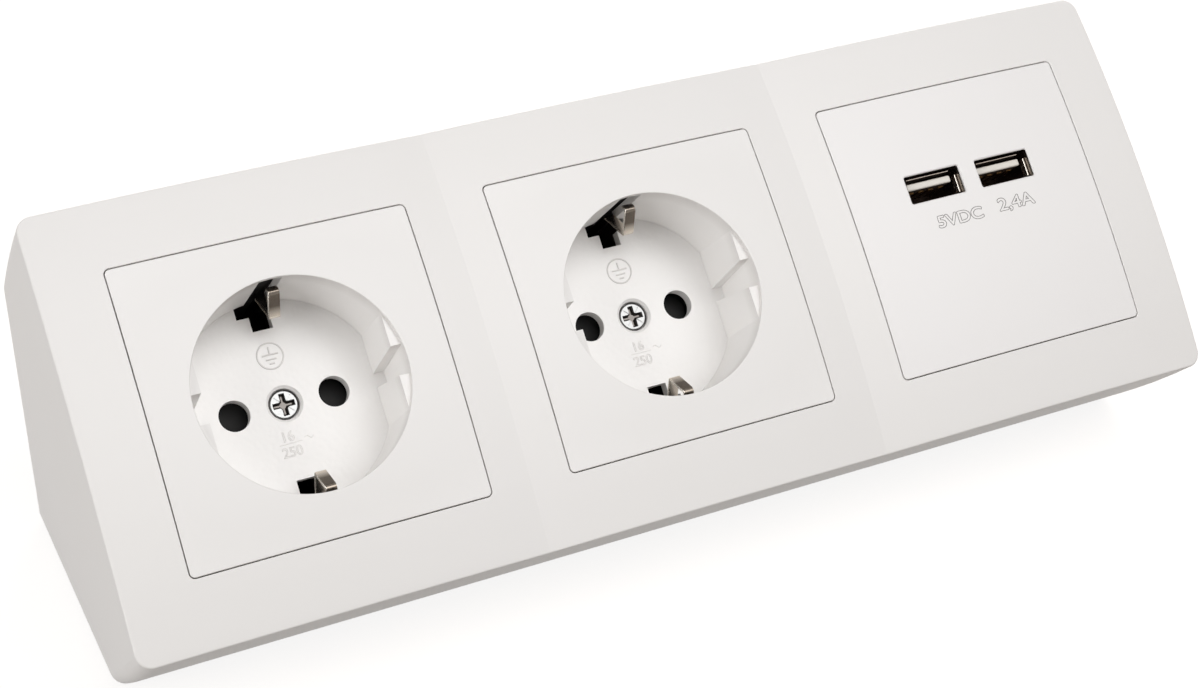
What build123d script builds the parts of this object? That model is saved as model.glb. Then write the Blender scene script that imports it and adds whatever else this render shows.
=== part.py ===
from build123d import *
from math import pi, radians, sin, sqrt
import os

# Corner socket block for the angle between a wall and a cabinet or worktop.
# Two earthed sockets and one twin charger stand side by side behind a
# three-gang front that leans back at 45 degrees. All sizes are millimetres.
#
# Row frame: X runs along the block, Y towards the wall, Z up. The origin is
# the middle of the flat underside. Most pieces are drawn in the front's own
# directions: x along the block, u up the slanted front, n out of it. Depths
# are measured inwards from the highest point of the front.

# Housing
end_margin = 4.5
front_height = 80.5
side_depth = 38.0
side_bulge = 0.3
side_tuck = 0.8
wall = 2.5
front_inner_depth = 7.0
leg_corner_radius = 3.0
apex_radius = 1.5
end_corner_radius = 3.0
front_edge_radius = 0.4

# Front surface: each module is crowned both ways
module_pitch = 71.0
crown_radius_x = 600.0
crown_radius_u = 300.0
crown_margin = 8.0

# Windows and the centre plates that fill them
window_size = 55.8
window_radius = 1.1
plate_gap = 0.2
plate_depth = 4.8
ledge_width = 2.4
edge_softness = 0.15
seat_gap = 0.1
touch_gap = 0.02
plate_skin = 3.1
plate_skirt = 2.2

# Earthed socket well
well_diameter = 39.2
well_depth = 17.5
well_wall = 1.5
floor_thickness = 2.5
pin_spacing = 19.0
pin_hole_diameter = 5.8
key_flat_x = 17.45
key_slot_front_width = 5.5
key_slot_floor_width = 2.6
key_depth = 1.4
earth_bar_width = 8.5
earth_bar_inner_u = 17.0
earth_stem_width = 3.9
earth_stem_inner_u = 14.2
earth_wall_slot_width = 4.4
earth_slot_skin = 1.7

# Centre screw of a socket
screw_head_diameter = 5.5
screw_head_height = 1.3
screw_head_sink = 0.8
screw_head_chamfer = 0.3
screw_bore_diameter = 5.9
screw_bore_chamfer = 0.5
screw_shaft_diameter = 3.0
screw_length = 12.0
screw_clearance = 0.1
cross_width = 0.9
cross_length = 3.4
cross_depth = 0.9
recess_width = 1.1
recess_length = 4.2
recess_core = 2.0
recess_taper = 24.0
tick_width = 0.18
tick_length = 4.4
tick_depth = 0.15

# Socket insert behind the cover
insert_size = 50.0
insert_corner = 6.0
insert_rear_depth = 41.0
barrel_gap = 0.5
shutter_chamber_diameter = 28.0
shutter_chamber_depth = 4.6
post_diameter = 5.0
contact_chamber_diameter = 7.2
contact_chamber_end = 39.0

# Shutter that turns about the post
shutter_thickness = 2.0
shutter_hub_diameter = 9.0
shutter_arm_width = 6.9
shutter_running_gap = 0.05
shutter_lift = 0.3
shutter_tilt_cut = 0.9
shutter_tilt_start = 0.4
spring_wire = 0.5
spring_radius = 3.4
spring_leg = 3.6
spring_opening = 60.0

# Earth strap with its two sprung clips
strap_thickness = 0.5
strap_width = 8.0
strap_gap = 0.3
strap_sink = 6.0
clip_width = 2.0
clip_offset = 1.0
clip_foot_u = 20.0
clip_vertex_u = 14.5
clip_vertex_depth = 10.6
clip_tip_u = 18.4
clip_tip_depth = 5.6
clip_curl_u = 0.8
clip_curl_depth = 1.4
clip_shoulder_depth = 16.8
clip_bend = 0.65

# Line and neutral contacts
contact_diameter = 6.6
contact_bore = 4.8
contact_length = 13.0
contact_slit = 1.0
contact_gap = 0.3
contact_floor = 0.8

# Steel support rings and their screws
ring_size = 65.0
ring_corner = 6.0
ring_thickness = 1.2
ring_gap = 0.1
ring_screw_spacing = 60.0
ring_screw_diameter = 2.9
ring_screw_length = 4.2
ring_screw_head = 5.2
ring_screw_head_height = 1.6
ring_screw_hole = 3.3

# Twin charger
port_width = 12.5
port_height = 5.7
port_spacing = 16.4
port_u = 7.9
port_corner = 0.4
port_softness = 0.2
shell_thickness = 0.3
shell_depth = 14.0
shell_start_depth = 0.7
tongue_thickness = 1.5
tongue_width = 11.0
tongue_base = 2.7
tongue_start = 1.2
tongue_lift = 1.0
contact_pad_width = 1.1
contact_pad_pitch = 2.3
contact_pad_height = 0.25
contact_pad_length = 6.0
contact_pad_rear = 4.0
charger_wall = 1.8
charger_depth = 38.0
board_thickness = 1.6
board_gap = 0.3
board_post_inset = 5.0
board_post_diameter = 5.0
transformer_size = 15.0
transformer_height = 13.0
transformer_corner = 1.0
transformer_place = (-7.0, 6.0)
capacitor_diameter = 8.0
capacitor_height = 14.0
capacitor_places = [(9.0, 8.0), (9.0, -4.0)]

# Rear base that closes the housing
base_wall = 2.5
base_gap = 0.3
base_rib_thickness = 2.0
base_rib_leg = 13.0
base_rib_count = 4
base_rib_inset = 39.0
mount_slot_inset = 31.0
mount_slot_width = 4.6
mount_slot_length = 10.0
mount_slot_offset = 4.0
inlet_inset = 55.0
inlet_diameter = 16.0
inlet_height = 26.0
grommet_lip = 1.6
grommet_flange = 20.0
grommet_web = 1.0
grommet_chamfer = 0.3

# Screws that join base and housing
boss_diameter = 7.0
boss_length = 14.0
boss_inset = 4.6
boss_distance = 22.0
housing_screw_diameter = 3.0
housing_screw_head = 5.6
housing_screw_head_height = 1.6
housing_screw_length = 12.0

# Terminal block for the supply
terminal_length = 24.0
terminal_width = 12.0
terminal_height = 13.0
terminal_corner = 1.0
terminal_inset = 51.0
terminal_distance = 22.0
terminal_pole_pitch = 8.0
terminal_bore = 3.6

# Worked out from the sizes above
block_length = 3 * module_pitch + 2 * end_margin
half_height = front_height / 2
leg = half_height * sqrt(2)
apex_depth = side_depth + half_height
corner_y = leg / 2
lean = 1 / sqrt(2)
plate_size = window_size - 2 * plate_gap
ledge_opening = window_size - 2 * ledge_width
barrel_diameter = well_diameter + 2 * well_wall
floor_depth = well_depth + floor_thickness
insert_front_depth = front_inner_depth + ring_gap + ring_thickness
pocket_depth = floor_depth + 2 * seat_gap
chamber_floor = pocket_depth + shutter_chamber_depth
strap_depth = chamber_floor + strap_sink + strap_thickness
head_depth = well_depth + screw_head_sink + screw_head_height
socket_places = [-module_pitch, 0.0]
charger_place = module_pitch
module_places = [-module_pitch, 0.0, module_pitch]
inner_length = block_length - 2 * wall
base_rib_pitch = (block_length - 2 * base_rib_inset) / (base_rib_count - 1)
inlet_place = block_length / 2 - inlet_inset
terminal_place = block_length / 2 - terminal_inset

up_front = (0, lean, lean)
out_front = (0, -lean, lean)
front_middle = (0, corner_y - apex_depth * lean, apex_depth * lean)


def front_plane(place, depth):
    """Plane parallel to the front, its x along the block and its y up the front."""
    sunk = (place, front_middle[1] + depth * lean, front_middle[2] - depth * lean)
    return Plane(origin=sunk, x_dir=(1, 0, 0), z_dir=out_front)


def section_plane(place):
    """Plane across the block, its x up the front and its y out of it."""
    return Plane(origin=(place, front_middle[1], front_middle[2]), x_dir=up_front, z_dir=(1, 0, 0))


def finish(piece, label):
    """Names a finished piece and writes its file."""
    piece.label = label
    export_step(piece, "parts/" + label + ".step")


def up_of(edge):
    """Height of an edge's middle up the slanted front."""
    return (edge.center() - Vector(*front_middle)).dot(Vector(*up_front))


def depth_of(edge):
    """Depth of an edge's middle behind the front."""
    return -(edge.center() - Vector(*front_middle)).dot(Vector(*out_front))


def crown_space(place):
    """Space above one module's crowned front; an end module's runs past the block's end."""
    end_reach = block_length / 2 - module_pitch + crown_margin
    left = end_reach if place == module_places[0] else module_pitch / 2
    right = end_reach if place == module_places[-1] else module_pitch / 2
    crown_span = half_height + 2 * crown_margin
    with BuildPart() as space:
        with BuildSketch(front_plane(place, crown_margin)):
            with Locations(((right - left) / 2, 0)):
                Rectangle(left + right, 2 * crown_span)
        extrude(amount=2 * crown_margin)
        far_side = Plane(origin=front_plane(place, 2 * crown_radius_x).origin, x_dir=up_front, z_dir=(-1, 0, 0))
        with BuildSketch(far_side):
            with BuildLine():
                drop = crown_span**2 / (2 * crown_radius_u)
                rim = ThreePointArc((-crown_span, -drop), (0, 0), (crown_span, -drop))
                Polyline(rim @ 1, (crown_span, -crown_span), (-crown_span, -crown_span), rim @ 0)
            make_face()
        revolve(axis=Axis(front_plane(place, crown_radius_x).origin, up_front), mode=Mode.SUBTRACT)
    return space.part


os.makedirs("parts", exist_ok=True)

# Housing: one moulded hood with three windows, closed ends and open rear legs
with BuildPart() as housing:
    with BuildSketch(section_plane(-block_length / 2)) as hood_section:
        with BuildLine():
            widest = half_height + side_bulge
            rear_u = half_height - side_tuck
            rear_n = -side_depth - side_tuck
            upper = ThreePointArc((half_height, 0), (widest, -side_depth / 2), (rear_u, rear_n))
            Polyline(upper @ 1, (0, -apex_depth), (-rear_u, rear_n))
            lower = ThreePointArc((-rear_u, rear_n), (-widest, -side_depth / 2), (-half_height, 0))
            Line(lower @ 1, upper @ 0)
        make_face()
        fillet(hood_section.vertices().sort_by(Axis.Y)[0], radius=apex_radius)
        leg_ends = [corner for corner in hood_section.vertices() if abs(corner.Y - rear_n) < 0.1]
        fillet(leg_ends, radius=leg_corner_radius)
    extrude(amount=block_length)
    long_corners = [
        edge
        for edge in housing.edges()
        if abs(abs(edge.center().X) - block_length / 2) < 0.01
        and abs(edge.length - side_depth) < 5
        and edge.geom_type == GeomType.CIRCLE
    ]
    fillet(long_corners, radius=end_corner_radius)
    for place in module_places:
        add(crown_space(place), mode=Mode.SUBTRACT)
    with BuildSketch(section_plane(-inner_length / 2)):
        with Locations((0, -front_inner_depth - apex_depth)):
            Rectangle(front_height - 2 * wall, 2 * apex_depth)
    extrude(amount=inner_length, mode=Mode.SUBTRACT)
    for place in module_places:
        with BuildSketch(front_plane(place, plate_depth)):
            RectangleRounded(window_size, window_size, window_radius)
        extrude(amount=2 * plate_depth, mode=Mode.SUBTRACT)
        with BuildSketch(front_plane(place, front_inner_depth)):
            RectangleRounded(ledge_opening, ledge_opening, window_radius)
        extrude(amount=front_inner_depth, mode=Mode.SUBTRACT)
        with BuildSketch(front_plane(place, front_inner_depth)):
            with GridLocations(ring_screw_spacing, 1, 2, 1):
                Circle(ring_screw_diameter / 2)
        extrude(amount=ring_screw_length - ring_thickness, mode=Mode.SUBTRACT)

    outer_rim = [
        edge
        for edge in housing.edges()
        if abs(depth_of(edge)) < 2 * wall
        and (abs(up_of(edge)) > half_height - end_corner_radius or abs(edge.center().X) > block_length / 2 - end_corner_radius)
    ]
    fillet(outer_rim, radius=front_edge_radius)
    crowned_faces = housing.faces().sort_by(Axis(front_middle, out_front))[-3:]
    window_rims = [edge for face in crowned_faces for rim in face.inner_wires() for edge in rim.edges()]
    fillet(window_rims, radius=edge_softness)
    boss_start = base_wall + seat_gap
    for side in (-1, 1):
        boss_x = side * (inner_length / 2 - boss_inset)
        for start in (
            Plane(origin=(boss_x, corner_y - boss_distance, boss_start), x_dir=(1, 0, 0), z_dir=(0, 0, 1)),
            Plane(origin=(boss_x, corner_y - boss_start, boss_distance), x_dir=(1, 0, 0), z_dir=(0, -1, 0)),
        ):
            with BuildSketch(start):
                Circle(boss_diameter / 2)
                with Locations((side * boss_inset / 2, 0)):
                    Rectangle(boss_inset, boss_diameter / 2)
            extrude(amount=boss_length)
            with BuildSketch(start):
                Circle(housing_screw_diameter / 2)
            extrude(amount=boss_length - wall, mode=Mode.SUBTRACT)

finish(housing.part, "housing")

# Rear base: an angle of two mounting plates with slots, ribs and the cable inlet
foot_front = corner_y - leg + wall * sqrt(2) + base_gap
foot_top = leg - wall * sqrt(2) - base_gap
base_length = inner_length - 2 * base_gap
slot_centre = foot_front + (corner_y - foot_front) / 2 - mount_slot_offset
with BuildPart() as base:
    with BuildSketch(Plane(origin=(-base_length / 2, 0, 0), x_dir=(0, 1, 0), z_dir=(1, 0, 0))) as base_section:
        with BuildLine():
            Polyline(
                (foot_front, 0),
                (corner_y, 0),
                (corner_y, foot_top),
                (corner_y - base_wall, foot_top),
                (corner_y - base_wall, base_wall),
                (foot_front, base_wall),
                close=True,
            )
        make_face()
        apex = [corner for corner in base_section.vertices() if corner.X > corner_y - 0.1 and corner.Y < 0.1]
        fillet(apex, radius=apex_radius)
    extrude(amount=base_length)
    for number in range(base_rib_count):
        rib_x = (number - (base_rib_count - 1) / 2) * base_rib_pitch
        with BuildSketch(Plane(origin=(rib_x, corner_y - base_wall, base_wall), x_dir=(0, -1, 0), z_dir=(-1, 0, 0))):
            Polygon((0, 0), (base_rib_leg, 0), (0, base_rib_leg), align=None)
        extrude(amount=base_rib_thickness / 2, both=True)
    for side in (-1, 1):
        slot_x = side * (block_length / 2 - mount_slot_inset)
        with BuildSketch(Plane(origin=(slot_x, slot_centre, 0))):
            SlotOverall(mount_slot_length, mount_slot_width)
        extrude(amount=base_wall, mode=Mode.SUBTRACT)
        with BuildSketch(Plane(origin=(slot_x, corner_y, corner_y - slot_centre), x_dir=(1, 0, 0), z_dir=(0, -1, 0))):
            SlotOverall(mount_slot_length, mount_slot_width)
        extrude(amount=base_wall, mode=Mode.SUBTRACT)
        screw_x = side * (inner_length / 2 - boss_inset)
        with BuildSketch(Plane(origin=(screw_x, corner_y - boss_distance, 0))):
            Circle(housing_screw_diameter / 2 + screw_clearance)
        extrude(amount=base_wall, mode=Mode.SUBTRACT)
        with BuildSketch(Plane(origin=(screw_x, corner_y - boss_distance, 0))):
            Circle(housing_screw_head / 2 + base_gap)
        extrude(amount=housing_screw_head_height, mode=Mode.SUBTRACT)
        with BuildSketch(Plane(origin=(screw_x, corner_y, boss_distance), x_dir=(1, 0, 0), z_dir=(0, -1, 0))):
            Circle(housing_screw_diameter / 2 + screw_clearance)
        extrude(amount=base_wall, mode=Mode.SUBTRACT)
        with BuildSketch(Plane(origin=(screw_x, corner_y, boss_distance), x_dir=(1, 0, 0), z_dir=(0, -1, 0))):
            Circle(housing_screw_head / 2 + base_gap)
        extrude(amount=housing_screw_head_height, mode=Mode.SUBTRACT)
    with BuildSketch(Plane(origin=(inlet_place, corner_y, inlet_height), x_dir=(1, 0, 0), z_dir=(0, -1, 0))):
        Circle(inlet_diameter / 2)
    extrude(amount=base_wall, mode=Mode.SUBTRACT)
finish(base.part, "base")

# Blanking grommet in the cable inlet
grommet_start = Plane(origin=(inlet_place, corner_y - base_wall - seat_gap, inlet_height), x_dir=(1, 0, 0), z_dir=(0, 1, 0))
with BuildPart() as cable_grommet:
    with BuildSketch(grommet_start.offset(-grommet_lip)):
        Circle(grommet_flange / 2)
    extrude(amount=grommet_lip)
    with BuildSketch(grommet_start):
        Circle(inlet_diameter / 2 - seat_gap)
    extrude(amount=base_wall)
    with BuildSketch(grommet_start.offset(-grommet_lip)):
        Circle(inlet_diameter / 2 - 2 * grommet_web)
    extrude(amount=grommet_lip + base_wall - grommet_web, mode=Mode.SUBTRACT)
    chamfer(cable_grommet.faces().sort_by(Axis.Y)[0].edges(), length=grommet_chamfer)
finish(cable_grommet.part, "cable_grommet")

# Screws that join base and housing, one from each side at both ends
with BuildPart() as housing_screws:
    for side in (-1, 1):
        screw_x = side * (inner_length / 2 - boss_inset)
        for start in (
            Plane(origin=(screw_x, corner_y - boss_distance, seat_gap), z_dir=(0, 0, 1)),
            Plane(origin=(screw_x, corner_y - seat_gap, boss_distance), z_dir=(0, -1, 0)),
        ):
            with BuildSketch(start):
                Circle(housing_screw_head / 2)
            extrude(amount=housing_screw_head_height - seat_gap)
            with BuildSketch(start):
                Circle(housing_screw_diameter / 2 - shutter_running_gap)
            extrude(amount=housing_screw_length)
            with BuildSketch(start):
                Rectangle(cross_length, cross_width)
                Rectangle(cross_width, cross_length)
            extrude(amount=cross_depth, mode=Mode.SUBTRACT)
finish(housing_screws.part, "housing_screws")


def plate_blank(place):
    """Square centre plate with a crowned front and a skirt behind it."""
    with BuildPart() as blank:
        with BuildSketch(front_plane(place, plate_depth - seat_gap)):
            RectangleRounded(plate_size, plate_size, window_radius - plate_gap)
        extrude(amount=2 * plate_depth)
        add(crown_space(place), mode=Mode.SUBTRACT)
        fillet(blank.faces().sort_by(Axis(front_middle, out_front))[-1].edges(), radius=edge_softness)
    return blank.part


def key_pads(place):
    """Guide pads at both sides of a well, each split by a slot that narrows towards the floor."""
    with BuildPart() as pads:
        with BuildSketch(front_plane(place, well_depth)):
            Circle(well_diameter / 2)
            Rectangle(2 * key_flat_x, well_diameter, mode=Mode.SUBTRACT)
        extrude(amount=well_depth - key_depth)
        with BuildSketch(section_plane(place - well_diameter / 2)):
            Polygon(
                (-key_slot_floor_width / 2, -well_depth),
                (key_slot_floor_width / 2, -well_depth),
                (key_slot_front_width / 2, -key_depth),
                (-key_slot_front_width / 2, -key_depth),
                align=None,
            )
        extrude(amount=well_diameter, mode=Mode.SUBTRACT)
    return pads.part


def socket_cover(place):
    """Centre plate of an earthed socket with its deep round well."""
    with BuildPart() as cover:
        add(plate_blank(place))
        with BuildSketch(front_plane(place, plate_depth)):
            Rectangle(plate_size - 2 * plate_skirt, plate_size - 2 * plate_skirt)
        extrude(amount=plate_depth - plate_skin, mode=Mode.SUBTRACT)
        with BuildSketch(front_plane(place, floor_depth)):
            Circle(barrel_diameter / 2)
        extrude(amount=floor_depth - plate_skin + seat_gap)
        with BuildSketch(front_plane(place, well_depth)):
            Circle(well_diameter / 2)
        extrude(amount=2 * well_depth, mode=Mode.SUBTRACT)
        well_rim = [
            edge
            for edge in cover.edges()
            if abs(depth_of(edge)) < 1 and abs(edge.length - pi * well_diameter) < 1
        ]
        fillet(well_rim, radius=edge_softness)
        add(key_pads(place))
        with BuildSketch(front_plane(place, well_depth)):
            with GridLocations(pin_spacing, 1, 2, 1):
                Circle(pin_hole_diameter / 2)
            Circle(screw_shaft_diameter / 2 + screw_clearance)
        extrude(amount=-floor_thickness, mode=Mode.SUBTRACT)
        with BuildSketch(front_plane(place, well_depth)):
            Circle(screw_bore_diameter / 2)
        extrude(amount=-(screw_head_sink + screw_head_height), mode=Mode.SUBTRACT)
        bore_rim = [
            edge
            for edge in cover.edges()
            if abs(depth_of(edge) - well_depth) < touch_gap and abs(edge.length - pi * screw_bore_diameter) < 0.1
        ]
        chamfer(bore_rim, length=screw_bore_chamfer)
        for side in (-1, 1):
            bar_height = barrel_diameter / 2 + 1 - earth_bar_inner_u
            stem_height = earth_bar_inner_u - earth_stem_inner_u
            with BuildSketch(front_plane(place, floor_depth)):
                with Locations((0, side * (earth_bar_inner_u + bar_height / 2))):
                    Rectangle(earth_bar_width, bar_height)
                with Locations((0, side * (earth_stem_inner_u + stem_height / 2))):
                    Rectangle(earth_stem_width, stem_height)
            extrude(amount=floor_thickness, mode=Mode.SUBTRACT)
            with BuildSketch(front_plane(place, floor_depth)):
                with Locations((0, side * (earth_bar_inner_u + bar_height / 2))):
                    Rectangle(earth_wall_slot_width, bar_height)
            extrude(amount=floor_depth - earth_slot_skin, mode=Mode.SUBTRACT)
    return cover.part


def cover_screw(place):
    """Cross-head screw in the middle of a well."""
    with BuildPart() as screw:
        with BuildSketch(front_plane(place, head_depth - touch_gap)):
            Circle(screw_head_diameter / 2)
        extrude(amount=screw_head_height - touch_gap)
        chamfer(screw.edges().filter_by(GeomType.CIRCLE).sort_by(Axis(front_middle, out_front))[-1], length=screw_head_chamfer)
        with BuildSketch(front_plane(place, head_depth - touch_gap)):
            Circle(screw_shaft_diameter / 2)
        extrude(amount=-screw_length)
        with BuildSketch(front_plane(place, well_depth + screw_head_sink)):
            Rectangle(recess_length, recess_width)
            Rectangle(recess_width, recess_length)
            Circle(recess_core / 2)
        extrude(amount=-cross_depth, taper=recess_taper, mode=Mode.SUBTRACT)
        with BuildSketch(front_plane(place, well_depth + screw_head_sink)):
            for angle in (45, 135):
                Rectangle(tick_length, tick_width, rotation=angle)
        extrude(amount=-tick_depth, mode=Mode.SUBTRACT)
    return screw.part


def insert_body(place):
    """Moulded insert that holds the contacts, the strap and the shutter."""
    with BuildPart() as body:
        with BuildSketch(front_plane(place, insert_rear_depth)):
            RectangleRounded(insert_size, insert_size, insert_corner)
        extrude(amount=insert_rear_depth - insert_front_depth - seat_gap)
        with BuildSketch(front_plane(place, pocket_depth)):
            Circle(barrel_diameter / 2 + barrel_gap)
        extrude(amount=pocket_depth, mode=Mode.SUBTRACT)
        strap_room = 2 * (clip_foot_u + strap_thickness / 2 + strap_gap)
        with BuildSketch(front_plane(place, chamber_floor)):
            Circle(shutter_chamber_diameter / 2)
        extrude(amount=shutter_chamber_depth, mode=Mode.SUBTRACT)
        with BuildSketch(front_plane(place, strap_depth)):
            Rectangle(strap_width + 2 * seat_gap, strap_room)
        extrude(amount=strap_depth - pocket_depth, mode=Mode.SUBTRACT)
        with BuildSketch(front_plane(place, strap_depth)):
            Circle(post_diameter / 2)
        extrude(amount=strap_depth - floor_depth - seat_gap)
        with BuildSketch(front_plane(place, floor_depth)):
            Circle(screw_shaft_diameter / 2 + shutter_running_gap)
        extrude(amount=-(screw_length + 1), mode=Mode.SUBTRACT)
        with BuildSketch(front_plane(place, chamber_floor)):
            with GridLocations(pin_spacing, 1, 2, 1):
                Circle(contact_chamber_diameter / 2)
        extrude(amount=-(contact_chamber_end - chamber_floor), mode=Mode.SUBTRACT)
    return body.part


def contact(place, side):
    """Slit spring sleeve that grips one pin, with its terminal tail."""
    pin_x = place + side * pin_spacing / 2
    rear = contact_chamber_end - contact_gap
    with BuildPart() as sleeve:
        with BuildSketch(front_plane(pin_x, rear)):
            Circle(contact_diameter / 2)
        extrude(amount=contact_length)
        with BuildSketch(front_plane(pin_x, rear - contact_floor)):
            Circle(contact_bore / 2)
            Rectangle(contact_slit, 2 * contact_diameter)
        extrude(amount=contact_length, mode=Mode.SUBTRACT)
    return sleeve.part


def earth_strap(place):
    """Earth strap: a flat bridge round the post and a hooked clip at each end."""
    half_strap = strap_thickness / 2
    with BuildPart() as strap:
        bridge_depth = strap_depth - half_strap
        with BuildSketch(front_plane(place, strap_depth - strap_thickness)):
            Rectangle(strap_width, 2 * (clip_foot_u + half_strap))
            Circle(post_diameter / 2 + seat_gap, mode=Mode.SUBTRACT)
        extrude(amount=touch_gap - strap_thickness)
        for side in (-1, 1):
            with BuildSketch(section_plane(place + clip_offset - clip_width / 2)):
                with BuildLine() as hook:
                    FilletPolyline(
                        (side * clip_foot_u, -bridge_depth),
                        (side * clip_foot_u, -clip_shoulder_depth),
                        (side * clip_vertex_u, -clip_vertex_depth),
                        (side * clip_tip_u, -clip_tip_depth),
                        (side * (clip_tip_u + clip_curl_u), -clip_tip_depth - clip_curl_depth),
                        radius=clip_bend,
                    )
                    offset(amount=half_strap, side=Side.BOTH, kind=Kind.ARC)
                make_face()
            extrude(amount=clip_width)
    return strap.part


def shutter(place):
    """Two-armed rotor that closes both pin holes."""
    rotor_rear = chamber_floor - shutter_lift
    with BuildPart() as rotor:
        with BuildSketch(front_plane(place, rotor_rear)):
            SlotCenterToCenter(pin_spacing, shutter_arm_width)
            Circle(shutter_hub_diameter / 2)
            Circle(post_diameter / 2 + shutter_running_gap, mode=Mode.SUBTRACT)
        extrude(amount=shutter_thickness)
        for side in (-1, 1):
            arm_reach = pin_spacing / 2 + shutter_arm_width / 2
            cut_start = place + side * (shutter_hub_diameter / 2 + shutter_tilt_start)
            with BuildSketch(Plane(origin=front_plane(cut_start, rotor_rear).origin, x_dir=up_front, z_dir=(side, 0, 0))):
                far = side * shutter_arm_width / 2
                Polygon(
                    (far, side * shutter_thickness),
                    (-far, side * shutter_thickness),
                    (far, side * (shutter_thickness - shutter_tilt_cut)),
                    align=None,
                )
            extrude(amount=arm_reach, mode=Mode.SUBTRACT)
    return rotor.part


def shutter_spring(place):
    """Open spring ring round the post with two bent-out legs."""
    spring_rear = chamber_floor - shutter_lift - shutter_thickness - shutter_running_gap
    with BuildPart() as spring:
        with BuildSketch(front_plane(place, spring_rear)):
            Circle(spring_radius + spring_wire / 2)
            Circle(spring_radius - spring_wire / 2, mode=Mode.SUBTRACT)
            Polygon(
                (0, 0),
                (3 * spring_radius * sin(radians(spring_opening / 2)), 3 * spring_radius),
                (-3 * spring_radius * sin(radians(spring_opening / 2)), 3 * spring_radius),
                align=None,
                mode=Mode.SUBTRACT,
            )
            for side in (-1, 1):
                leg_angle = 90 - side * spring_opening / 2
                with Locations(Location((0, 0, 0), (0, 0, leg_angle))):
                    with Locations((spring_radius + spring_leg / 2, 0)):
                        Rectangle(spring_leg, spring_wire)
        extrude(amount=spring_wire)
    return spring.part


def support_ring(place):
    """Steel ring behind a window that carries the insert."""
    with BuildPart() as ring:
        with BuildSketch(front_plane(place, front_inner_depth + ring_gap)):
            RectangleRounded(ring_size, ring_size, ring_corner)
            Circle(barrel_diameter / 2 + barrel_gap, mode=Mode.SUBTRACT)
            with GridLocations(ring_screw_spacing, 1, 2, 1):
                Circle(ring_screw_hole / 2, mode=Mode.SUBTRACT)
        extrude(amount=-ring_thickness)
    return ring.part


for number, place in enumerate(socket_places, start=1):
    finish(socket_cover(place), "socket_cover_%d" % number)
    finish(cover_screw(place), "cover_screw_%d" % number)
    finish(insert_body(place), "insert_body_%d" % number)
    finish(contact(place, -1), "line_contact_%d" % number)
    finish(contact(place, 1), "neutral_contact_%d" % number)
    finish(earth_strap(place), "earth_strap_%d" % number)
    finish(shutter(place), "shutter_%d" % number)
    finish(shutter_spring(place), "shutter_spring_%d" % number)

for number, place in enumerate(module_places, start=1):
    finish(support_ring(place), "support_ring_%d" % number)

# Screws that hold the support rings, two for each module
with BuildPart() as ring_screws:
    for place in module_places:
        for side in (-1, 1):
            head_start = front_plane(place + side * ring_screw_spacing / 2, insert_front_depth + touch_gap)
            with BuildSketch(head_start):
                Circle(ring_screw_head / 2)
            extrude(amount=-ring_screw_head_height)
            with BuildSketch(head_start):
                Circle(ring_screw_diameter / 2 - shutter_running_gap)
            extrude(amount=ring_screw_length - 2 * seat_gap)
            with BuildSketch(head_start.offset(-ring_screw_head_height)):
                Rectangle(cross_length, cross_width)
                Rectangle(cross_width, cross_length)
            extrude(amount=cross_depth, mode=Mode.SUBTRACT)
finish(ring_screws.part, "ring_screws")

# Charger plate with two bevelled port openings and a pocket behind each for its shell
port_places = [charger_place - port_spacing / 2, charger_place + port_spacing / 2]
shell_width = port_width + 2 * shell_thickness
shell_height = port_height + 2 * shell_thickness
shell_corner = port_corner + shell_thickness
with BuildPart() as usb_cover:
    add(plate_blank(charger_place))
    with BuildSketch(front_plane(charger_place, plate_depth)):
        Rectangle(plate_size - 2 * plate_skirt, plate_size - 2 * plate_skirt)
    extrude(amount=plate_depth - plate_skin, mode=Mode.SUBTRACT)
    for place in port_places:
        with BuildSketch(front_plane(place, plate_depth)):
            with Locations((0, port_u)):
                RectangleRounded(port_width, port_height, port_corner)
        extrude(amount=2 * plate_depth, mode=Mode.SUBTRACT)
    port_face = usb_cover.faces().sort_by(Axis(front_middle, out_front))[-1]
    chamfer([edge for rim in port_face.inner_wires() for edge in rim.edges()], length=port_softness)
    for place in port_places:
        with BuildSketch(front_plane(place, plate_depth)):
            with Locations((0, port_u)):
                RectangleRounded(shell_width + 2 * seat_gap, shell_height + 2 * seat_gap, shell_corner + seat_gap)
        extrude(amount=plate_depth - shell_start_depth + seat_gap, mode=Mode.SUBTRACT)
finish(usb_cover.part, "usb_cover")

# Charger housing: an open-fronted box whose front edge meets the support ring
charger_front = insert_front_depth + seat_gap
board_depth = shell_start_depth + shell_depth + board_gap
with BuildPart() as usb_body:
    with BuildSketch(front_plane(charger_place, charger_depth)):
        RectangleRounded(insert_size, insert_size, insert_corner)
    extrude(amount=charger_depth - charger_front)
    with BuildSketch(front_plane(charger_place, charger_depth - charger_wall)):
        RectangleRounded(insert_size - 2 * charger_wall, insert_size - 2 * charger_wall, insert_corner - charger_wall)
    extrude(amount=charger_depth, mode=Mode.SUBTRACT)
    with BuildSketch(front_plane(charger_place, board_depth + board_thickness + seat_gap)):
        post_pitch = insert_size - 2 * board_post_inset
        with GridLocations(post_pitch, post_pitch, 2, 2):
            Circle(board_post_diameter / 2)
    extrude(amount=-(charger_depth - charger_wall - board_depth - board_thickness - seat_gap))
finish(usb_body.part, "usb_body")

# Circuit board that carries the ports
board_size = insert_size - 2 * charger_wall - 2 * board_gap
with BuildPart() as usb_board:
    with BuildSketch(front_plane(charger_place, board_depth)):
        RectangleRounded(board_size, board_size, insert_corner - charger_wall)
    extrude(amount=-board_thickness)
finish(usb_board.part, "usb_board")

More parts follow.
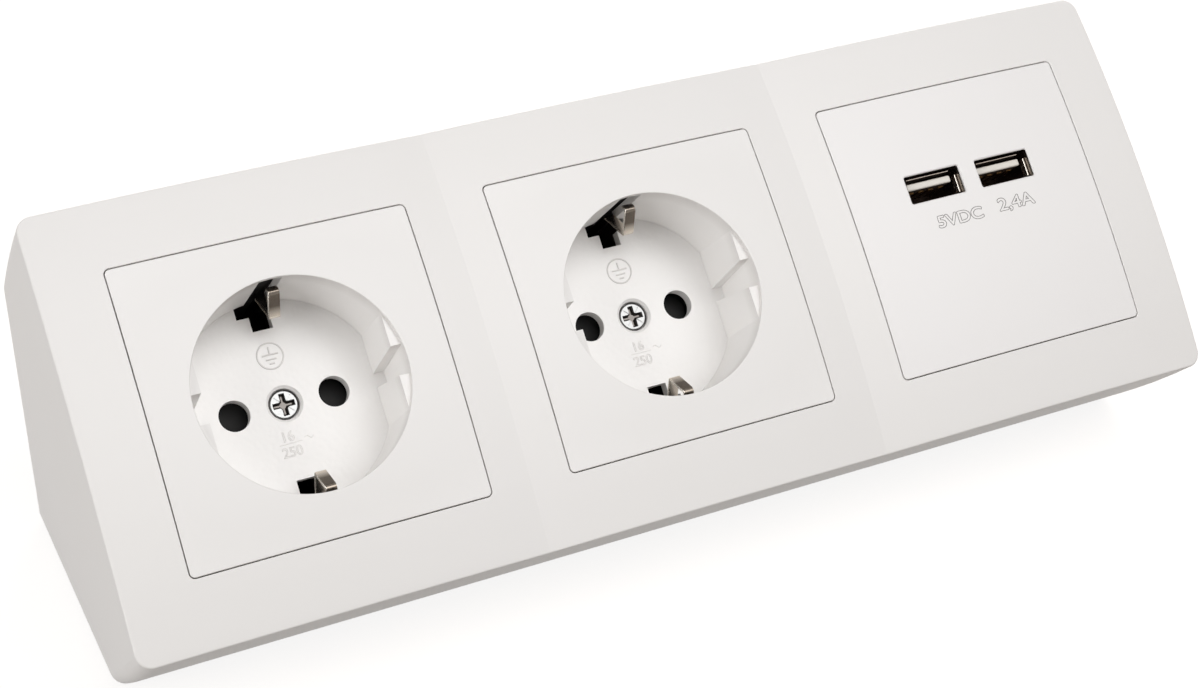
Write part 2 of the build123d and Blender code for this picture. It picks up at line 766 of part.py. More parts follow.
# Transformer and storage capacitors behind the board
part_depth = board_depth + board_thickness + touch_gap
with BuildPart() as usb_parts:
    with BuildSketch(front_plane(charger_place, part_depth)):
        with Locations(transformer_place):
            RectangleRounded(transformer_size, transformer_size, transformer_corner)
    extrude(amount=-transformer_height)
    with BuildSketch(front_plane(charger_place, part_depth)):
        with Locations(capacitor_places):
            Circle(capacitor_diameter / 2)
    extrude(amount=-capacitor_height)
finish(usb_parts.part, "usb_parts")

for number, place in enumerate(port_places, start=1):
    shell_front = front_plane(place, shell_start_depth)
    with BuildPart() as usb_shell:
        with BuildSketch(shell_front):
            with Locations((0, port_u)):
                RectangleRounded(shell_width, shell_height, shell_corner)
                RectangleRounded(port_width, port_height, port_corner, mode=Mode.SUBTRACT)
        extrude(amount=-shell_depth)
        with BuildSketch(front_plane(place, shell_start_depth + shell_depth)):
            with Locations((0, port_u)):
                RectangleRounded(shell_width, shell_height, shell_corner)
        extrude(amount=shell_thickness)
    finish(usb_shell.part, "usb_shell_%d" % number)
    tongue_rear = shell_start_depth + shell_depth - shell_thickness - touch_gap
    with BuildPart() as usb_tongue:
        with BuildSketch(front_plane(place, tongue_rear)):
            with Locations((0, port_u)):
                RectangleRounded(port_width - seat_gap, port_height - seat_gap, port_corner)
        extrude(amount=tongue_base)
        with BuildSketch(front_plane(place, tongue_rear)):
            with Locations((0, port_u + tongue_lift)):
                Rectangle(tongue_width, tongue_thickness)
        extrude(amount=shell_depth - shell_thickness - tongue_start)
    finish(usb_tongue.part, "usb_tongue_%d" % number)
    with BuildPart() as usb_contacts:
        with BuildSketch(front_plane(place, tongue_rear - contact_pad_rear)):
            with Locations((0, port_u + tongue_lift - tongue_thickness / 2 - contact_pad_height / 2)):
                with GridLocations(contact_pad_pitch, 1, 4, 1):
                    Rectangle(contact_pad_width, contact_pad_height - touch_gap)
        extrude(amount=contact_pad_length)
    finish(usb_contacts.part, "usb_contacts_%d" % number)

# Terminal block for the supply, on the base behind the charger
terminal_y = foot_front + terminal_distance
with BuildPart() as terminal_block:
    with BuildSketch(Plane(origin=(terminal_place, terminal_y, base_wall + touch_gap))):
        RectangleRounded(terminal_length, terminal_width, terminal_corner)
    extrude(amount=terminal_height)
    bore_plane = Plane(origin=(terminal_place, terminal_y, base_wall + terminal_height / 2), x_dir=(1, 0, 0), z_dir=(0, 1, 0))
    with BuildSketch(bore_plane):
        with GridLocations(terminal_pole_pitch, 1, 3, 1):
            Circle(terminal_bore / 2)
    extrude(amount=terminal_width, both=True, mode=Mode.SUBTRACT)
finish(terminal_block.part, "terminal_block")
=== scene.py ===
import math

import bpy
from mathutils import Matrix, Vector


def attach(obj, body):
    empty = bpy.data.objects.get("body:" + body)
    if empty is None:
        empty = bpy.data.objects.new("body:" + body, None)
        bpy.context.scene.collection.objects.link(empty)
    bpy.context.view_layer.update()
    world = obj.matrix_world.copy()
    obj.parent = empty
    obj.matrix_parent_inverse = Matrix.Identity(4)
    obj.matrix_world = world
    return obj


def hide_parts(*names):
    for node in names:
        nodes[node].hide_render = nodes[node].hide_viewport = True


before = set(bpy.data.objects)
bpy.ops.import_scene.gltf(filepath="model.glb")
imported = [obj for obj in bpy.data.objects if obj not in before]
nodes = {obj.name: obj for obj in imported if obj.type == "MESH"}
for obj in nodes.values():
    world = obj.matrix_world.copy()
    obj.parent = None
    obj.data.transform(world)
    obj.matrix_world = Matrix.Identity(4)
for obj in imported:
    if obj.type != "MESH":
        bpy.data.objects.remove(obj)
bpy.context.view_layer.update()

# Sizes and places are in millimetres, apart from those of the floor and the lamps
MM = 0.001

# The front of the block: where its middle lies, which way it faces and how each module bulges
LEAN = math.sqrt(0.5)
FRONT_MIDDLE = Vector((0.0, -26.870, 55.331)) * MM
ALONG = Vector((1.0, 0.0, 0.0))
UP_FRONT = Vector((0.0, LEAN, LEAN))
OUT_FRONT = Vector((0.0, -LEAN, LEAN))
CROWN_RADIUS_X = 600.0
CROWN_RADIUS_U = 300.0

# Modules: two sockets and the charger at one end
PITCH = 71.0
SOCKET_PLACES = (-PITCH, 0.0)
WELL_DEPTH = 17.5


def on_front(x, u, n=0.0):
    """Place in the shared frame of a point given along the block, up the front and out of it."""
    return FRONT_MIDDLE + ALONG * (x * MM) + UP_FRONT * (u * MM) + OUT_FRONT * (n * MM)


def crown_height(x, u):
    """Height of a module's crowned surface at a place measured from its middle."""
    return -x * x / (2 * CROWN_RADIUS_X) - u * u / (2 * CROWN_RADIUS_U)


def linear(code):
    """A #rrggbb colour as linear light."""
    channels = [int(code[i : i + 2], 16) / 255 for i in (1, 3, 5)]
    return [c / 12.92 if c <= 0.04045 else ((c + 0.055) / 1.055) ** 2.4 for c in channels] + [1.0]


def add_node(tree, kind, links=(), **settings):
    """Adds one shader node, sets its sockets and properties, and links its inputs."""
    node = tree.nodes.new(kind)
    for name, value in settings.items():
        if name in node.inputs:
            node.inputs[name].default_value = value
        else:
            setattr(node, name, value)
    for socket, source in links:
        tree.links.new(source, node.inputs[socket])
    return node


def new_material(name):
    """An empty node material and its output node."""
    material = bpy.data.materials.new(name)
    material.use_nodes = True
    tree = material.node_tree
    tree.nodes.clear()
    return material, tree, tree.nodes.new("ShaderNodeOutputMaterial")


# Grain and gloss of the finishes: real grains are finer, and these are as coarse as they need to be to show
DRIFT_MM = 30.0
PEBBLE_MM = 0.9
PEBBLE_HEIGHT_MM = 0.05
PEBBLE_FADE = (WELL_DEPTH - 0.4, WELL_DEPTH - 0.1)
ROLLING_HEIGHT_MM = 0.004
PLASTIC_GLOSS_SPREAD = 0.04
METAL_GLOSS_BELOW = 0.06
METAL_GLOSS_ABOVE = 0.08
PLASTIC_IOR = 1.53
RUBBER_IOR = 1.52

# Painted light and shade by depth behind the front, as start, end and colour, matched to the photograph
WELL_WALL_PAINTED_LIGHT = (1.0, 5.0, "#faf8f6")
WELL_BOTTOM_PAINTED_LIGHT = (WELL_DEPTH - 1.0, WELL_DEPTH - 0.2, "#f2f0ee")
RECESS_PAINTED_SHADE = (WELL_DEPTH + 0.95, WELL_DEPTH + 1.3, "#5c5855")
CLIP_FACE_PAINTED_HIGHLIGHT = (8.2, 9.8, "#e2d9cd")
CLIP_ROOT_PAINTED_SHADE = (WELL_DEPTH - 0.4, WELL_DEPTH + 0.4, "#15110f")
SHELL_INSIDE_PAINTED_SHADE = (1.0, 1.9, "#6a5c54")
TONGUE_SIDE_PAINTED_SHADE = (2.05, 2.4, "#5a4d45")


def front_depth(tree):
    """How far a point lies out of the front plane, in metres, as a shader value."""
    place = add_node(tree, "ShaderNodeTexCoord")
    dot = add_node(tree, "ShaderNodeVectorMath", [(0, place.outputs["Object"])], operation="DOT_PRODUCT")
    dot.inputs[1].default_value = OUT_FRONT
    offset = add_node(tree, "ShaderNodeMath", [(0, dot.outputs["Value"])], operation="SUBTRACT")
    offset.inputs[1].default_value = FRONT_MIDDLE.dot(OUT_FRONT)
    return place, offset


def tinted_by_depth(tree, depth, tint, bands):
    """Fades a colour into others with the depth behind the front, one band after another."""
    for start, end, colour in bands:
        fade = add_node(tree, "ShaderNodeMapRange", [("Value", depth.outputs[0])], clamp=True)
        fade.inputs["From Min"].default_value = -start * MM
        fade.inputs["From Max"].default_value = -end * MM
        mixed = [("Factor", fade.outputs["Result"]), ("A", tint.outputs["Result"])]
        tint = add_node(tree, "ShaderNodeMix", mixed, data_type="RGBA")
        tint.inputs["B"].default_value = linear(colour)
    return tint


def moulded_plastic(
    name, colour, shade, roughness, grain_mm, grain_height_mm, ior=PLASTIC_IOR, bands=(), pebbled=False
):
    """Injection-moulded plastic: an even colour with a fine grain from the tool that softens the gloss.

    The colour drifts slightly over centimetres, so that broad faces aren't flat. Bands of depth paint light
    and shade into it inside openings, and a pebbled piece has a coarse grain on the well's bottom.
    """
    material, tree, output = new_material(name)
    place, depth = front_depth(tree)
    where = ("Vector", place.outputs["Object"])
    drift = add_node(tree, "ShaderNodeTexNoise", [where], Scale=1 / (DRIFT_MM * MM), Detail=2.0)
    tint = add_node(tree, "ShaderNodeMix", [("Factor", drift.outputs["Fac"])], data_type="RGBA")
    tint.inputs["A"].default_value = linear(shade)
    tint.inputs["B"].default_value = linear(colour)
    grain = add_node(tree, "ShaderNodeTexNoise", [where], Scale=1 / (grain_mm * MM), Detail=3.0)
    rise = [("Height", grain.outputs["Fac"])]
    bump = add_node(tree, "ShaderNodeBump", rise, Strength=1.0, Distance=grain_height_mm * MM)
    tint = tinted_by_depth(tree, depth, tint, bands)
    if pebbled:
        pebble_scale = 1 / (PEBBLE_MM * MM)
        cells = add_node(tree, "ShaderNodeTexVoronoi", [where], Scale=pebble_scale, feature="SMOOTH_F1")
        bottom = add_node(tree, "ShaderNodeMapRange", [("Value", depth.outputs[0])], clamp=True)
        bottom.inputs["From Min"].default_value = -PEBBLE_FADE[0] * MM
        bottom.inputs["From Max"].default_value = -PEBBLE_FADE[1] * MM
        factors = [(0, cells.outputs["Distance"]), (1, bottom.outputs["Result"])]
        pebbles = add_node(tree, "ShaderNodeMath", factors, operation="MULTIPLY")
        rise = [("Height", pebbles.outputs[0]), ("Normal", bump.outputs["Normal"])]
        bump = add_node(tree, "ShaderNodeBump", rise, Strength=1.0, Distance=PEBBLE_HEIGHT_MM * MM)
    gloss = add_node(tree, "ShaderNodeMapRange", [("Value", grain.outputs["Fac"])])
    gloss.inputs["To Min"].default_value = roughness - PLASTIC_GLOSS_SPREAD
    gloss.inputs["To Max"].default_value = roughness + PLASTIC_GLOSS_SPREAD
    surface = add_node(
        tree,
        "ShaderNodeBsdfPrincipled",
        [
            ("Base Color", tint.outputs["Result"]),
            ("Roughness", gloss.outputs["Result"]),
            ("Normal", bump.outputs["Normal"]),
        ],
        IOR=ior,
    )
    tree.links.new(surface.outputs["BSDF"], output.inputs["Surface"])
    return material


def rolled_metal(name, colour, shade, roughness, grain_mm, streak=(1.0, 1.0, 1.0), bands=()):
    """Bare or plated metal: rolling marks stretch its grain and vary its gloss, and bands paint light and
    shade into it.
    """
    material, tree, output = new_material(name)
    place, depth = front_depth(tree)
    stretch = add_node(tree, "ShaderNodeMapping", [("Vector", place.outputs["Object"])])
    stretch.inputs["Scale"].default_value = streak
    where = ("Vector", stretch.outputs["Vector"])
    grain = add_node(tree, "ShaderNodeTexNoise", [where], Scale=1 / (grain_mm * MM), Detail=4.0)
    tint = add_node(tree, "ShaderNodeMix", [("Factor", grain.outputs["Fac"])], data_type="RGBA")
    tint.inputs["A"].default_value = linear(shade)
    tint.inputs["B"].default_value = linear(colour)
    tint = tinted_by_depth(tree, depth, tint, bands)
    gloss = add_node(tree, "ShaderNodeMapRange", [("Value", grain.outputs["Fac"])])
    gloss.inputs["To Min"].default_value = roughness - METAL_GLOSS_BELOW
    gloss.inputs["To Max"].default_value = roughness + METAL_GLOSS_ABOVE
    rise = [("Height", grain.outputs["Fac"])]
    bump = add_node(tree, "ShaderNodeBump", rise, Strength=1.0, Distance=ROLLING_HEIGHT_MM * MM)
    surface = add_node(
        tree,
        "ShaderNodeBsdfPrincipled",
        [
            ("Base Color", tint.outputs["Result"]),
            ("Roughness", gloss.outputs["Result"]),
            ("Normal", bump.outputs["Normal"]),
        ],
        Metallic=1.0,
    )
    tree.links.new(surface.outputs["BSDF"], output.inputs["Surface"])
    return material


# Moulded ABS of the hood: its fine grain spreads the highlights to a satin warm white
white_abs = moulded_plastic("white_abs_moulded", "#ebe8e6", "#e9e6e3", 0.44, 0.35, 0.006)
# Moulded ABS of the charger plate: a finer grain and a touch brighter than the hood beside it
plate_abs = moulded_plastic("white_abs_plate", "#eeebea", "#ece9e7", 0.42, 0.3, 0.005)
# Moulded ABS of the socket plates: the wall and the pebbled bottom of a well are painted lighter as painted
# light, the wall more than the bottom
well_abs = moulded_plastic(
    "white_abs_pebbled_well",
    "#ebe8e6",
    "#e9e6e3",
    0.42,
    0.35,
    0.006,
    bands=(WELL_WALL_PAINTED_LIGHT, WELL_BOTTOM_PAINTED_LIGHT),
    pebbled=True,
)
# Embossed signs on the well's bottom: smoother than the pebbled ground, and a little darker as painted
# shade for the shading of their edges
embossed_abs = moulded_plastic("white_abs_embossed", "#e3e0de", "#dedbd9", 0.42, 0.35, 0.004)
# Embossed rating: so low that it all but melts into the ground, and lifted to the painted light of the
# well's bottom
faint_abs = moulded_plastic("white_abs_faint_emboss", "#efedeb", "#ece9e7", 0.42, 0.35, 0.004)
# Moulded ABS of the rear base: a coarser grain, so duller than the hood
base_abs = moulded_plastic("white_abs_base", "#e2dfdb", "#dedad6", 0.55, 0.5, 0.012)
# Painted shade along the edges of the moulded lettering: dark grey-brown hairlines without gloss
letter_edge_shade_abs = moulded_plastic("letter_edge_painted_shade", "#5a5552", "#514c49", 0.6, 0.3, 0.01)
# Moulded nylon behind the openings: brown-black and dull, and darkened further as painted shade, so that
# the pin holes read as holes
black_nylon = moulded_plastic("black_nylon_moulded", "#0f0c0b", "#0a0808", 0.75, 0.3, 0.01)
# Moulded nylon of the socket inserts: seen only through the slots, and darker still as painted shade
insert_nylon = moulded_plastic("dark_nylon_insert", "#0c0a09", "#080706", 0.8, 0.4, 0.012)
# Moulded nylon of the terminal strip: an even mid grey with a soft gloss
grey_nylon = moulded_plastic("grey_nylon_moulded", "#4a4745", "#403d3b", 0.5, 0.4, 0.012)
# Natural nylon of the port tongues: a cream front end, and sides painted brown as the shade of the port
tongue_nylon = moulded_plastic(
    "natural_nylon_tongue", "#dfdad2", "#d6d0c6", 0.35, 0.3, 0.005, bands=(TONGUE_SIDE_PAINTED_SHADE,)
)
# Moulded rubber of the blanking grommet: a soft grey without highlights
grommet_rubber = moulded_plastic(
    "grey_rubber_grommet", "#7d7b79", "#757270", 0.7, 0.25, 0.015, ior=RUBBER_IOR
)
# Lacquered laminate of the circuit board: a glossy deep green
board_laminate = moulded_plastic("green_lacquered_laminate", "#1e5a36", "#184a2c", 0.3, 0.8, 0.01)
# Nickel-plated strip of the earth clips: brown-grey as a painted dark reflection on the lip, a painted
# highlight on the face in the well, and painted shade, near black, inside the slot
nickel_strip = rolled_metal(
    "nickel_plated_strip",
    "#7b736a",
    "#5f574f",
    0.22,
    0.25,
    (1.0, 3.0, 3.0),
    bands=(CLIP_FACE_PAINTED_HIGHLIGHT, CLIP_ROOT_PAINTED_SHADE),
)
# Nickel-plated port shells: a bright rim round a brown inside of painted shade, so that the ports read as
# dark slots
shell_steel = rolled_metal(
    "nickel_plated_shell", "#a39c93", "#8a837a", 0.28, 0.3, (3.0, 1.0, 1.0), bands=(SHELL_INSIDE_PAINTED_SHADE,)
)
# Plated spring leaf beside the port's opening, and the cut edges of the clips: a bright glint, painted as a
# highlight
highlight_leaf = rolled_metal("spring_leaf_painted_highlight", "#efeae2", "#dcd6cc", 0.25, 0.3)
# Plated spring leaf over the tongue: a copy painted brown-grey as the shade of the rim
shaded_leaf = rolled_metal("shaded_spring_leaf", "#a0968c", "#857b72", 0.35, 0.3)
# Zinc-plated cold-headed screws: a soft grey shine, with painted shade in the driver recess
zinc_screw = rolled_metal("bright_zinc_screw", "#929291", "#7e7e7e", 0.36, 0.2, bands=(RECESS_PAINTED_SHADE,))
# Zinc-plated sheet of the support rings: pale and streaked by rolling
sheet_steel = rolled_metal("zinc_plated_sheet", "#c3c5c6", "#aeb0b2", 0.32, 0.5, (1.0, 4.0, 4.0))
# Drawn wire of the shutter springs: a mid grey shine
spring_steel = rolled_metal("drawn_spring_steel", "#8d8b88", "#7a7875", 0.3, 0.2)
# Rolled brass of the pin sleeves: a warm yellow glint where a turned shutter bares them
contact_brass = rolled_metal("rolled_brass_contact", "#c9a45e", "#b48f4c", 0.3, 0.3, (1.0, 3.0, 3.0))
# Gold-flashed port contacts: darkened as painted shade inside the ports, so only a dull glint shows
shaded_gold_contact = rolled_metal("gold_contact_painted_shade", "#735633", "#5e462a", 0.35, 0.2)

FINISHES = {
    "housing": white_abs,
    "usb_cover": plate_abs,
    "base": base_abs,
    "cable_grommet": grommet_rubber,
    "housing_screws": zinc_screw,
    "ring_screws": zinc_screw,
    "usb_body": black_nylon,
    "usb_parts": black_nylon,
    "usb_board": board_laminate,
    "terminal_block": grey_nylon,
}
for number in (1, 2, 3):
    FINISHES["support_ring_%d" % number] = sheet_steel
for number in (1, 2):
    FINISHES["socket_cover_%d" % number] = well_abs
    FINISHES["cover_screw_%d" % number] = zinc_screw
    FINISHES["insert_body_%d" % number] = insert_nylon
    FINISHES["line_contact_%d" % number] = contact_brass
    FINISHES["neutral_contact_%d" % number] = contact_brass
    FINISHES["earth_strap_%d" % number] = nickel_strip
    FINISHES["shutter_%d" % number] = black_nylon
    FINISHES["shutter_spring_%d" % number] = spring_steel
    FINISHES["usb_shell_%d" % number] = shell_steel
    FINISHES["usb_tongue_%d" % number] = tongue_nylon
    FINISHES["usb_contacts_%d" % number] = shaded_gold_contact

# Broad faces lead the shading, so that narrow roundings don't dent it
BROAD_FACE_WEIGHT = 100
for name, node in nodes.items():
    node.data.materials.clear()
    node.data.materials.append(FINISHES[name])
    evened = node.modifiers.new("evened_shading", "WEIGHTED_NORMAL")
    evened.keep_sharp = True
    evened.weight = BROAD_FACE_WEIGHT


def stroke_piece(name, strokes, module_x, centre, depth, width_mm, material, crowned=False):
    """Rounded ridges along the given lines, half sunk in the crowned front or in a face parallel to it.

    A stroke is a list of (x, u) points from the mark's centre, with True for a closed one.
    """
    curve = bpy.data.curves.new(name, "CURVE")
    curve.dimensions = "3D"
    curve.bevel_depth = width_mm / 2 * MM
    curve.bevel_resolution = 3
    for points, closed in strokes:
        line = curve.splines.new("POLY")
        line.points.add(len(points) - 1)
        line.use_cyclic_u = closed
        for point, (x, u) in zip(line.points, points):
            place_x, place_u = centre[0] + x, centre[1] + u
            n = crown_height(place_x, place_u) if crowned else -depth
            point.co = (*on_front(module_x + place_x, place_u, n), 1.0)
    piece = bpy.data.objects.new(name, curve)
    bpy.context.scene.collection.objects.link(piece)
    curve.materials.append(material)
    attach(piece, "block")


# Earth symbol: a circle with a stem and three bars, each given by its height and half its length
EARTH_PLACE = (-0.1, 9.2)
EARTH_STROKE_MM = 0.34
EARTH_RADIUS = 2.45
EARTH_RING_POINTS = 48
EARTH_STEM_TOP = 1.7
EARTH_BARS = ((0.25, 1.55), (-0.65, 1.0), (-1.45, 0.5))


def ring(radius, count):
    """Points of a circle."""
    turns = [2 * math.pi * i / count for i in range(count)]
    return [(radius * math.cos(turn), radius * math.sin(turn)) for turn in turns]


earth_strokes = [(ring(EARTH_RADIUS, EARTH_RING_POINTS), True)]
earth_strokes += [([(0, EARTH_STEM_TOP), (0, EARTH_BARS[0][0])], False)]
earth_strokes += [([(-half, u), (half, u)], False) for u, half in EARTH_BARS]
for number, module_x in enumerate(SOCKET_PLACES, start=1):
    name = "earth_mark_%d" % number
    stroke_piece(name, earth_strokes, module_x, EARTH_PLACE, WELL_DEPTH, EARTH_STROKE_MM, embossed_abs)

LETTER_CURVE_STEPS = 6


def letter_outlines(text, width_mm, height_mm):
    """Outlines of a line of plain lettering as closed strokes, its left end on the baseline at (0, 0)."""
    curve = bpy.data.curves.new("letters", "FONT")
    curve.body = text
    holder = bpy.data.objects.new("letters", curve)
    bpy.context.scene.collection.objects.link(holder)
    outline = holder.to_curve(bpy.context.evaluated_depsgraph_get()).copy()
    strokes = []
    for spline in outline.splines:
        knots = spline.bezier_points
        points = []
        for a, b in zip(knots, list(knots[1:]) + [knots[0]]):
            for step in range(LETTER_CURVE_STEPS):
                t = step / LETTER_CURVE_STEPS
                p = (
                    a.co * (1 - t) ** 3
                    + a.handle_right * 3 * t * (1 - t) ** 2
                    + b.handle_left * 3 * t * t * (1 - t)
                    + b.co * t**3
                )
                points.append((p.x, p.y))
        strokes.append(points)
    bpy.data.objects.remove(holder)
    left = min(x for points in strokes for x, y in points)
    right = max(x for points in strokes for x, y in points)
    top = max(y for points in strokes for x, y in points)
    across, upward = width_mm / (right - left), height_mm / top
    return [([((x - left) * across, y * upward) for x, y in points], True) for points in strokes]


def shifted(strokes, x, u):
    """Strokes moved within their mark."""
    return [([(px + x, pu + u) for px, pu in points], closed) for points, closed in strokes]


def bolder(strokes, amount):
    """Closed outlines moved outwards, and those of the counters inwards, by an amount in millimetres."""
    areas = []
    for points, _ in strokes:
        areas.append(sum(a[0] * b[1] - b[0] * a[1] for a, b in zip(points, points[1:] + points[:1])))
    turn = math.copysign(amount, max(areas, key=abs))
    moved = []
    for points, closed in strokes:
        outline = []
        for before, here, after in zip(points[-1:] + points[:-1], points, points[1:] + points[:1]):
            dx, du = after[0] - before[0], after[1] - before[1]
            length = max(math.hypot(dx, du), 1e-6)
            outline.append((here[0] + du / length * turn, here[1] - dx / length * turn))
        moved.append((outline, closed))
    return moved


# Port lettering, what a charger states and nothing else: text, lower left corner, width and height
PORT_STROKE_MM = 0.11
PORT_BOLDER_MM = 0.1
PORT_MARKS = (
    ("port_mark_1", "5VDC", (-10.45, -0.8), 10.3, 2.3),
    ("port_mark_2", "2,4A", (3.9, -0.45), 8.4, 2.45),
)
for name, text, corner, width, height in PORT_MARKS:
    strokes = bolder(letter_outlines(text, width, height), PORT_BOLDER_MM)
    stroke_piece(name, strokes, PITCH, corner, 0.0, PORT_STROKE_MM, letter_edge_shade_abs, crowned=True)

# Inside of the ports, as opposite corners (x, u, n) from a port's centre: one spring leaf under the
# top wall, one beside the right wall, and the tongue's blade with rounded edges
PORT_SPACING = 16.4
PORT_CENTRES = (PITCH - PORT_SPACING / 2, PITCH + PORT_SPACING / 2)
PORT_U = 7.9
PORT_WIDTH = 12.5
PORT_HEIGHT = 5.7
LEAF_CLEARANCE = 0.1
UNDER_TOP = PORT_HEIGHT / 2 - LEAF_CLEARANCE
BESIDE_WALL = PORT_WIDTH / 2 - LEAF_CLEARANCE
TOP_LEAF = ((-5.4, UNDER_TOP - 0.55, -4.2), (4.4, UNDER_TOP - 0.4, -1.3))
SIDE_LEAF = ((BESIDE_WALL - 0.35, -2.3, -3.4), (BESIDE_WALL - 0.05, 1.35, -1.9))
BLADE = ((-5.4, 0.15, -11.0), (4.75, 1.55, -1.9))
LEAF_ROUNDING_MM = 0.05
BLADE_ROUNDING_MM = 0.3


def slab(name, port_x, ends, rounding_mm, material):
    """A slab with rounded edges between two opposite corners."""
    mesh = bpy.data.meshes.new(name)
    (x1, u1, n1), (x2, u2, n2) = ends
    corners = [(x, u, n) for x in (x1, x2) for u in (u1, u2) for n in (n1, n2)]
    faces = [(0, 1, 3, 2), (4, 6, 7, 5), (0, 4, 5, 1), (2, 3, 7, 6), (0, 2, 6, 4), (1, 5, 7, 3)]
    mesh.from_pydata([on_front(port_x + x, PORT_U + u, n) for x, u, n in corners], [], faces)
    mesh.materials.append(material)
    piece = bpy.data.objects.new(name, mesh)
    bpy.context.scene.collection.objects.link(piece)
    rounding = piece.modifiers.new("rounded_edges", "BEVEL")
    rounding.width = rounding_mm * MM
    rounding.segments = 3
    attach(piece, "block")
    return piece


for number, port_x in enumerate(PORT_CENTRES, start=1):
    slab("port_leaf_top_%d" % number, port_x, TOP_LEAF, LEAF_ROUNDING_MM, shaded_leaf)
    slab("port_leaf_side_%d" % number, port_x, SIDE_LEAF, LEAF_ROUNDING_MM, highlight_leaf)
    blade_name = "tongue_blade_%d" % number
    blade = slab(blade_name, port_x, BLADE, BLADE_ROUNDING_MM, tongue_nylon)
    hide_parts("usb_tongue_%d" % number)

# Painted highlights on the cut edges of the earth clips: two bright lines along the strip's left side,
# which follow its path (u, n)
CLIP_HALF_MM = 0.2
CLIP_EDGE_X = -0.02
CLIP_EDGE_WIDTH_MM = 0.14
CLIP_PATH = ((19.0, -6.9), (18.4, -5.85), (14.8, -10.6), (19.8, -16.5))


def strip_outline(path, half):
    """Both long edges of a bent strip seen from its side, as one closed line."""
    edges = []
    for turn in (half, -half):
        edge = []
        for i, here in enumerate(path):
            before, after = path[max(i - 1, 0)], path[min(i + 1, len(path) - 1)]
            du, dn = after[0] - before[0], after[1] - before[1]
            length = math.hypot(du, dn)
            edge.append((here[0] - dn / length * turn, here[1] + du / length * turn))
        edges.append(edge)
    return edges[0] + edges[1][::-1]


def clip_edge(name, module_x, side):
    """A painted highlight along the edge of one earth clip, as a hairline wire, on the upper or the lower
    side of a well.
    """
    curve = bpy.data.curves.new(name, "CURVE")
    curve.dimensions = "3D"
    curve.bevel_depth = CLIP_EDGE_WIDTH_MM / 2 * MM
    curve.bevel_resolution = 2
    outline = strip_outline(CLIP_PATH, CLIP_HALF_MM)
    line = curve.splines.new("POLY")
    line.points.add(len(outline) - 1)
    line.use_cyclic_u = True
    for point, (u, n) in zip(line.points, outline):
        point.co = (*on_front(module_x + CLIP_EDGE_X, side * u, n), 1.0)
    curve.materials.append(highlight_leaf)
    piece = bpy.data.objects.new(name, curve)
    bpy.context.scene.collection.objects.link(piece)
    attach(piece, "block")


for number, module_x in enumerate(SOCKET_PLACES, start=1):
    clip_edge("clip_edge_top_%d" % number, module_x, 1)
    clip_edge("clip_edge_bottom_%d" % number, module_x, -1)

# Rating in the wells: current over voltage with a line between them, and a wave for alternating
RATING_PLACE = (-0.9, -7.4)
RATING_STROKE_MM = 0.2
DIGIT_HEIGHT = 1.8
CURRENT_WIDTH = 2.0
CURRENT_CORNER = (-1.1, 0.55)
VOLTAGE_WIDTH = 3.7
VOLTAGE_CORNER = (-1.95, -2.35)
DIVIDER = [(-2.2, 0.1), (2.1, 0.1)]
WAVE_START = (2.7, 0.5)
WAVE_LENGTH = 1.7
WAVE_HEIGHT = 0.3
WAVE_STEPS = 10
wave = []
for step in range(WAVE_STEPS + 1):
    part = step / WAVE_STEPS
    rise = WAVE_HEIGHT * math.sin(2 * math.pi * part)
    wave.append((WAVE_START[0] + WAVE_LENGTH * part, WAVE_START[1] + rise))
rating_strokes = shifted(letter_outlines("16", CURRENT_WIDTH, DIGIT_HEIGHT), *CURRENT_CORNER)
rating_strokes += shifted(letter_outlines("250", VOLTAGE_WIDTH, DIGIT_HEIGHT), *VOLTAGE_CORNER)
rating_strokes += [(DIVIDER, False), (wave, False)]
for number, module_x in enumerate(SOCKET_PLACES, start=1):
    name = "rating_mark_%d" % number
    stroke_piece(name, rating_strokes, module_x, RATING_PLACE, WELL_DEPTH, RATING_STROKE_MM, faint_abs)


def seen_directly(tree):
    """1 for rays that show the surroundings to the eye: camera, mirror and see-through rays."""
    ray = add_node(tree, "ShaderNodeLightPath")
    pair = [(0, ray.outputs["Is Camera Ray"]), (1, ray.outputs["Is Glossy Ray"])]
    either = add_node(tree, "ShaderNodeMath", pair, operation="MAXIMUM")
    pair = [(0, either.outputs[0]), (1, ray.outputs["Is Transmission Ray"])]
    return add_node(tree, "ShaderNodeMath", pair, operation="MAXIMUM")


# Floor, in metres: a matte ground that takes the shadow, lifted to white where an eye or mirror sees it
FLOOR_SIZE = 6.0
FLOOR_DROP = 0.0002
floor_material, tree, output = new_material("pale_floor")
matte = add_node(tree, "ShaderNodeBsdfDiffuse", Color=linear("#8b857f"))
lift = [("Strength", seen_directly(tree).outputs[0])]
glow = add_node(tree, "ShaderNodeEmission", lift, Color=linear("#efefef"))
both = add_node(tree, "ShaderNodeAddShader", [(0, matte.outputs[0]), (1, glow.outputs[0])])
tree.links.new(both.outputs[0], output.inputs["Surface"])
bpy.ops.mesh.primitive_plane_add(size=FLOOR_SIZE, location=(0, 0, -FLOOR_DROP))
floor = bpy.context.object
floor.name = "floor"
floor.data.materials.append(floor_material)

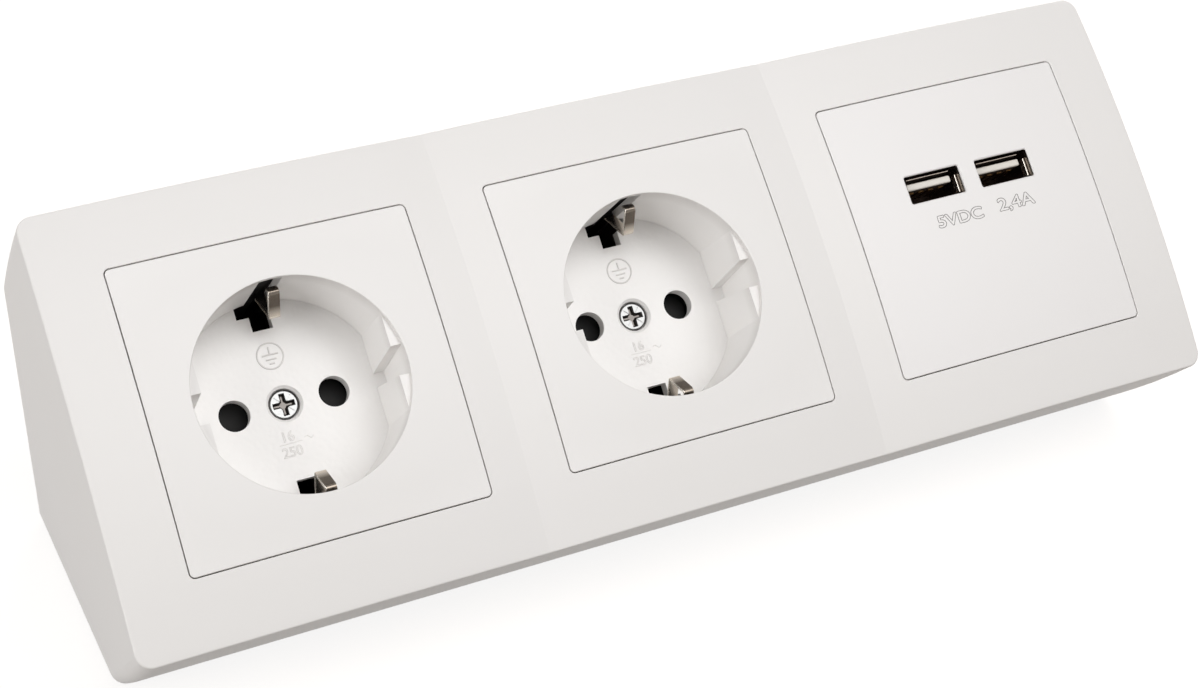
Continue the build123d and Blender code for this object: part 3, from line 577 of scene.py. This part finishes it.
# World: weak even light from all round, and white where it is seen
SKY_LEVEL = 0.13
world = bpy.data.worlds.new("studio")
bpy.context.scene.world = world
world.use_nodes = True
tree = world.node_tree
tree.nodes.clear()
level = add_node(tree, "ShaderNodeMapRange", [("Value", seen_directly(tree).outputs[0])])
level.inputs["To Min"].default_value = SKY_LEVEL
level.inputs["To Max"].default_value = 1.0
lift = [("Strength", level.outputs["Result"])]
sky = add_node(tree, "ShaderNodeBackground", lift, Color=linear("#ffffff"))
tree.links.new(sky.outputs[0], add_node(tree, "ShaderNodeOutputWorld").inputs["Surface"])

# Softboxes, in metres and watts: name, place, size and power. The last one stands behind the front's
# plane and lights the rear and the right end, which would else be in the dark
LAMP_AIM = Vector((0, 0, 0.04))
LAMPS = (
    ("key_front", Vector((0.12, -0.76, 1.32)), 0.8, 8.6),
    ("key_right", Vector((0.70, -0.80, 1.20)), 0.8, 6.3),
    ("fill_left", Vector((-1.60, -0.75, 0.75)), 0.9, 11.2),
    ("fill_low_left", Vector((-1.60, -0.10, 0.35)), 0.9, 4.9),
    ("fill_rear", Vector((0.90, 1.30, 0.85)), 0.9, 14.0),
)
for name, place, size, power in LAMPS:
    lamp = bpy.data.lights.new(name, "AREA")
    lamp.size = size
    lamp.energy = power
    holder = bpy.data.objects.new(name, lamp)
    holder.location = place
    holder.rotation_euler = (LAMP_AIM - place).to_track_quat("-Z", "Y").to_euler()
    bpy.context.scene.collection.objects.link(holder)

# Camera: matched to the photograph by the block's corners, windows and socket wells
IMAGE_WIDTH_PX = 1200
FOCAL_PX = 2205.4
SENSOR_MM = 36.0
CAMERA_PLACE = Vector((-165.37, -333.97, 273.27)) * MM
CAMERA_RIGHT = Vector((0.89992, -0.43587, 0.01288))
CAMERA_UP = Vector((0.2302, 0.49996, 0.83489))
camera = bpy.data.objects.new("camera", bpy.data.cameras.new("camera"))
camera.data.sensor_width = SENSOR_MM
camera.data.lens = FOCAL_PX / IMAGE_WIDTH_PX * SENSOR_MM
camera.data.clip_start = 10.0 * MM
camera.data.clip_end = 50000.0 * MM
back = CAMERA_RIGHT.cross(CAMERA_UP).normalized()
up = back.cross(CAMERA_RIGHT).normalized()
axes = Matrix((CAMERA_RIGHT.normalized(), up, back)).transposed().to_4x4()
camera.matrix_world = Matrix.Translation(CAMERA_PLACE) @ axes
bpy.context.scene.collection.objects.link(camera)
bpy.context.scene.camera = camera

bpy.context.scene.view_settings.view_transform = "Standard"
